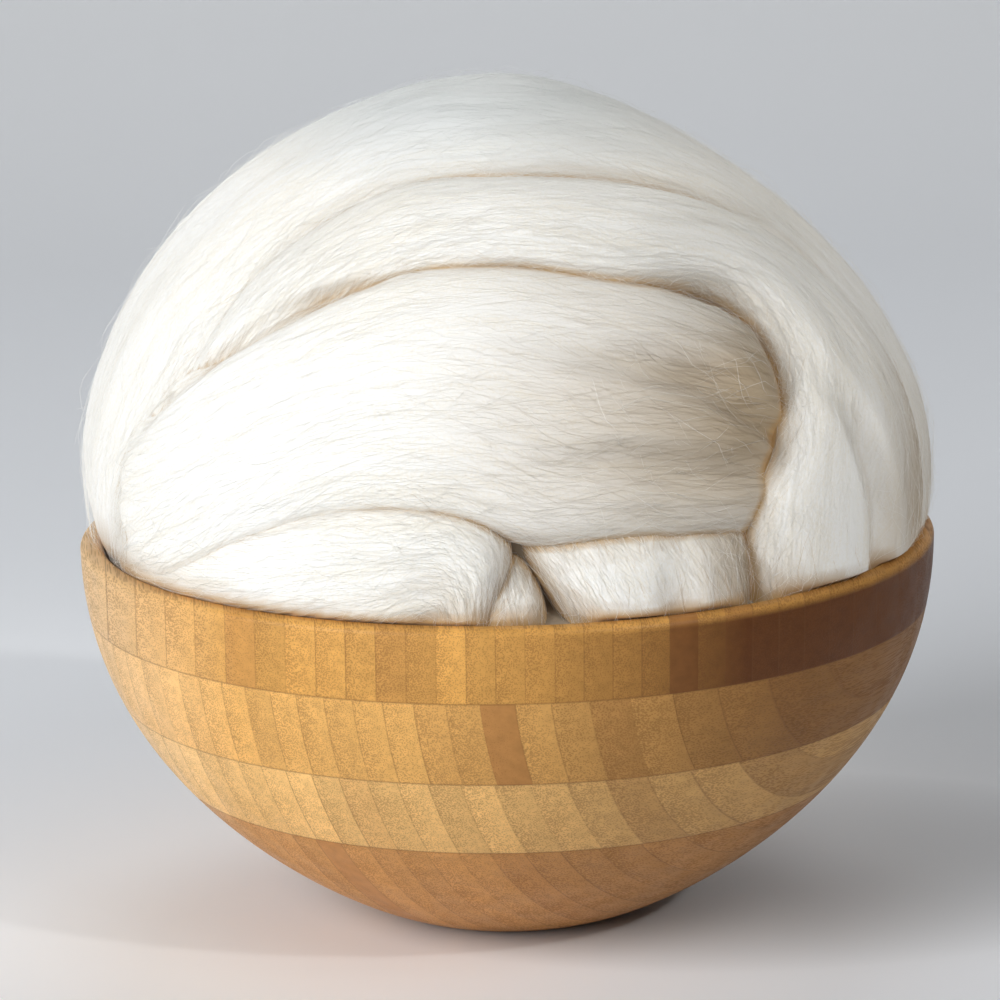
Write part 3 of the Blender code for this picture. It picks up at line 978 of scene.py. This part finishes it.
# draws lines until enough of them show
def shownLines(count, tree, draw):
    look = strandLook
    kept, total = [], 0
    while total < count:
        lines = clearOfBowl(draw())
        lines = lines[showing(tree, lines[:, look["points"] // 2], look["slack"])]
        kept.append(lines)
        total += len(lines)
        if len(lines) < count * look["fewest"]:
            break
    return np.concatenate(kept)[:count]


# strands that lie along a wrap
def combedLines(name, count, tree, random):
    look = strandLook
    size = wrapMesh[name]
    girth = size["girth"] * wrapForm["girthShown"] / mm
    each = (count, 1)
    t = np.linspace(-0.5, 0.5, look["points"])[None]

    def draw():
        start = random.uniform(0.04, 0.96, each)
        beside = (1 - np.cos(math.pi * random.uniform(0.05, 0.95, each))) / 2
        span = random.uniform(*look["span"], each)
        along = np.clip(start + t * span * mm / size["length"], 0.015, 0.985)
        drift = random.normal(0, look["drift"] / 2, each) * t * 2
        wave = random.normal(0, look["wave"] / 2, each)
        wave = wave * np.sin(math.tau * (t + random.uniform(0, 1, each)))
        across = np.clip(beside + (drift + wave) / girth, 0.005, 0.995)
        lift = random.uniform(*look["lift"], each) + look["arch"] * (1 - (2 * t) ** 2)
        return wrapSurface(name, along, across, lift)

    return shownLines(count, tree, draw)


# single fibres that leave the wrap, more of them beside the creases
def looseLines(name, count, tree, random):
    look = strandLook
    size = wrapMesh[name]
    girth = size["girth"] * wrapForm["girthShown"] / mm
    each = (count, 1)
    t = np.linspace(0, 1, look["points"])[None]

    def draw():
        start = random.uniform(0.05, 0.95, each)
        beside = random.uniform(0.03, 0.97, each)
        edge = random.uniform(0, 1, each) < look["edgeShare"]
        nearEdge = np.where(random.uniform(0, 1, each) < 0.5, 0.03, 0.97)
        nearEdge = nearEdge + random.normal(0, look["edgeSpread"], each)
        beside = np.clip(np.where(edge, nearEdge, beside), 0.02, 0.98)
        short = random.uniform(0, 1, each) < look["shortShare"]
        span = random.uniform(*look["shortSpan"], each), random.uniform(*look["longSpan"], each)
        span = np.where(short, *span) * np.where(random.uniform(0, 1, each) < 0.5, 1, -1)
        along = np.clip(start + t * span * mm / size["length"], 0.015, 0.985)
        drift = random.normal(0, look["looseDrift"], each) * np.where(short, look["shortDrift"], 1.0) * t**1.3
        wave = random.normal(0, 1.0, each) * np.where(short, look["shortWave"], 1.0)
        wave = wave * np.sin(math.tau * (t * 1.3 + random.uniform(0, 1, each)))
        across = np.clip(beside + (drift + wave) / girth, 0.005, 0.995)
        tall = random.gamma(1.3, look["looseHeight"], each)
        arch = ~short & (random.uniform(0, 1, each) < look["archShare"])
        rise = np.where(arch, np.sin(math.pi * t) ** 1.2, t**1.6)
        lift = look["looseLift"] + np.minimum(tall, look["looseReach"]) * rise
        return wrapSurface(name, along, across, lift)

    return shownLines(count, tree, draw)


def strandMaterial(name):
    look = fibreLook
    n = Nodes(name)
    white = n.add("ShaderNodeTexWhiteNoise", noise_dimensions="2D")
    snapped = n.add("ShaderNodeVectorMath", operation="SNAP")
    n.plug(n.add("ShaderNodeUVMap", uv_map="OFBake").outputs["UV"], snapped.inputs[0])
    n.plug((look["strandCell"],) * 3, snapped.inputs[1])
    n.plug(snapped.outputs[0], white.inputs["Vector"])
    share = n.remap(white.outputs["Value"], 0.0, 1.0, look["strandPale"], 1.0)
    colour = n.mixColour(share, look["cream"], look["strand"])
    return n.finish({"Base Color": paintedShadeTint(n, colour), "Roughness": 0.6, "Specular IOR Level": 0.3})


# direction the nearest surface faces, leaning a little away from the ball's centre
def facingOf(tree, spots):
    facing = np.empty_like(spots)
    for i, spot in enumerate(spots):
        facing[i] = tree.find_nearest(Vector(spot))[1]
    outward = unit(spots - ballCentre)
    facing *= np.sign((facing * outward).sum(axis=1, keepdims=True) + 1e-9)
    return unit(facing + creaseFeelers["outward"] * outward)


def strandPiece(name, lines, depths, radii, material):
    mesh = strandMesh(name, lines, radii)
    each = len(mesh.vertices) // len(lines)
    keepDepths(mesh, np.repeat(depths[0], each), np.repeat(depths[1], each))
    finishPiece(newObject(name, mesh, material), "fibre")
    print(name, len(lines))


def makeStrands(tree):
    look = strandLook
    random = np.random.RandomState(7)
    material = strandMaterial("combedFibre")
    middle = look["points"] // 2
    for name, shares in strandPieces.items():
        groups, depths = [], []
        for wrap, count in shares.items():
            lines = combedLines(wrap, count, tree, random)
            spots = lines[:, middle]
            groups.append(lines)
            depths.append(feelCreases(tree, wrap, spots, facingOf(tree, spots), creaseFeelers["strandCount"]))
        lines = np.concatenate(groups)
        radii = random.uniform(*look["radius"], len(lines)) * mm
        strandPiece(name, lines, np.concatenate(depths, axis=1), radii, material)
    lines = np.concatenate([looseLines(wrap, count, tree, random) for wrap, count in looseStrands.items()])
    radii = random.uniform(*look["looseRadius"], len(lines)) * mm
    strandPiece("looseFibre", lines, np.zeros((2, len(lines))), radii, material)


turnedBowl = makeBowl()
print("bowl made")
wrapPieces = {name: makeWrap(name) for name in wraps}
heart = makeHeart()
print("wraps made")
wholeTree = outerTree([turnedBowl, heart, *wrapPieces.values()])
markCreases(wrapPieces.values(), wholeTree)
print("creases marked")
makeStrands(wholeTree)
print("strands made")

stageLook = {
    "paper": (0.92, 0.94, 0.97, 1),
    # darker paper for the painted shade and painted shadow on the floor
    "shadedPaper": (0.46, 0.47, 0.49, 1),
    # painted light: the paper turns paler high up on the back wall
    "paintedLightPaper": (0.97, 0.98, 0.99, 1),
    "rightShade": (0.03, 0.75),  # painted shade: the near right of the floor is coloured darker, as it falls away into shade
    "nearShade": (0.5, -0.1),
    "paintedLightRange": (0.8, 1.45),
    # and a painted shadow makes it darkest beside the foot
    "shadowPoolX": 0.062,
    "shadowPoolY": 0.022,
    "shadowPoolSquash": 0.7,
    "shadowPoolReach": (0.085, 0.010),
    "shadowPoolShare": 0.66,
    "roughness": 0.7,
    "halfWidth": 3.0,
    "front": -2.5,
    "bendAt": 0.9,
    "bendRadius": 0.8,
    "bendSteps": 16,
    "height": 2.6,
}


def paperNodes():
    s = stageLook
    n = Nodes("palePaper")
    x, y = n.place()[1][:2]
    # painted shade towards the near right and a painted shadow pool beside the bowl's foot
    shade = n.math("MULTIPLY", n.remap(x, *s["rightShade"]), n.remap(y, *s["nearShade"]))
    across = n.math("MULTIPLY", n.math("SUBTRACT", x, s["shadowPoolX"]), s["shadowPoolSquash"])
    along = n.math("SUBTRACT", y, s["shadowPoolY"])
    square = n.math("ADD", n.math("MULTIPLY", across, across), n.math("MULTIPLY", along, along))
    shadowPool = n.remap(n.math("SQRT", square), *s["shadowPoolReach"])
    shadowPool = n.math("MULTIPLY", n.math("MULTIPLY", shadowPool, n.math("SUBTRACT", 2.0, shadowPool)), s["shadowPoolShare"])
    # painted light: paler high up on the back wall
    paper = n.mixColour(n.remap(y, *s["paintedLightRange"]), s["paper"], s["paintedLightPaper"])
    colour = n.mixColour(n.math("MAXIMUM", shade, shadowPool), paper, s["shadedPaper"])
    n.finish({"Base Color": colour, "Roughness": s["roughness"]})
    return n


# floor and back wall in one sweep
def makeStage():
    s = stageLook
    profile = [(s["front"], 0.0), (s["bendAt"], 0.0)]
    for step in range(1, s["bendSteps"] + 1):
        angle = math.radians(90 * step / s["bendSteps"])
        y = s["bendAt"] + s["bendRadius"] * math.sin(angle)
        profile.append((y, s["bendRadius"] * (1 - math.cos(angle))))
    profile.append((s["bendAt"] + s["bendRadius"], s["height"]))
    shape = bmesh.new()
    corners = [shape.verts.new((-s["halfWidth"], y, z)) for y, z in profile]
    edges = [shape.edges.new(pair) for pair in zip(corners, corners[1:])]
    grown = bmesh.ops.extrude_edge_only(shape, edges=edges)
    moved = [g for g in grown["geom"] if isinstance(g, bmesh.types.BMVert)]
    bmesh.ops.translate(shape, verts=moved, vec=(2 * s["halfWidth"], 0, 0))
    bmesh.ops.recalc_face_normals(shape, faces=shape.faces[:])
    mesh = meshFrom(shape, "paperSweep")
    mesh.shade_smooth()
    n = paperNodes()
    newObject("paperSweep", mesh, n.material)


makeStage()

# columns of a lamp: place, size, power, colour
lightLook = {
    "key": ((-1.136, -0.953, 0.70), 1.1, 22.8, (0.955, 0.975, 1.0)),
    "overhead": ((0.1, 0.9, 1.5), 1.0, 4.4, (0.985, 0.99, 1.0)),
    "fill": ((0.80, -1.14, 1.35), 1.0, 5.3, (1.0, 0.985, 0.96)),
    "side": ((0.98, -0.98, 1.05), 0.12, 105.0, (1.0, 0.985, 0.95)),
    "aim": (0, 0, 0.09),
    "sideAim": (0.068, -0.050, 0.143),
    "sideAngle": 5.9,  # degrees
    "worldColour": (0.96, 0.98, 1.0, 1),
    "worldStrength": 0.13,
}


def newLight(name, kind, aim, sizeName, **settings):
    place, size, power, colour = lightLook[name]
    lamp = bpy.data.lights.new(name + "Light", kind)
    lamp.energy = power
    lamp.color = colour
    for key, value in {sizeName: size, **settings}.items():
        setattr(lamp, key, value)
    item = bpy.data.objects.new(name + "Light", lamp)
    item.location = place
    item.rotation_euler = (Vector(aim) - Vector(place)).to_track_quat("-Z", "Y").to_euler()
    bpy.context.scene.collection.objects.link(item)


def makeLights():
    k = lightLook
    for name in ("key", "overhead", "fill"):
        newLight(name, "AREA", k["aim"], "size", shape="DISK")
    # narrow and soft on the wool's right side, and it leaves the bowl in shade
    newLight("side", "SPOT", k["sideAim"], "shadow_soft_size",
             spot_size=math.radians(k["sideAngle"]), spot_blend=1.0)
    world = bpy.data.worlds.new("softRoom")
    world.use_nodes = True
    background = world.node_tree.nodes["Background"]
    background.inputs[0].default_value = k["worldColour"]
    background.inputs[1].default_value = k["worldStrength"]
    bpy.context.scene.world = world


makeLights()
cameraLook = {
    "elevation": 12.69,  # degrees
    "roll": -1.07,
    "distance": 1.099,
    "aim": (-0.0015, 0.0, 0.0971),
    "focal": 168.55,
}


def makeCamera():
    c = cameraLook
    e, roll = math.radians(c["elevation"]), math.radians(c["roll"])
    forward = Vector((0, math.cos(e), -math.sin(e)))
    right = Vector((1, 0, 0))
    up = right.cross(forward)
    turned = right * math.cos(roll) + up * math.sin(roll)
    raised = up * math.cos(roll) - right * math.sin(roll)
    place = Vector(c["aim"]) - forward * c["distance"]
    lens = bpy.data.cameras.new("camera")
    lens.sensor_width = 36.0
    lens.lens = c["focal"]
    item = bpy.data.objects.new("camera", lens)
    item.matrix_world = Matrix((turned, raised, -forward)).transposed().to_4x4()
    item.location = place
    bpy.context.scene.collection.objects.link(item)
    bpy.context.scene.camera = item


makeCamera()
bpy.context.scene.view_settings.view_transform = "Standard"
print("stage, lights and camera made")
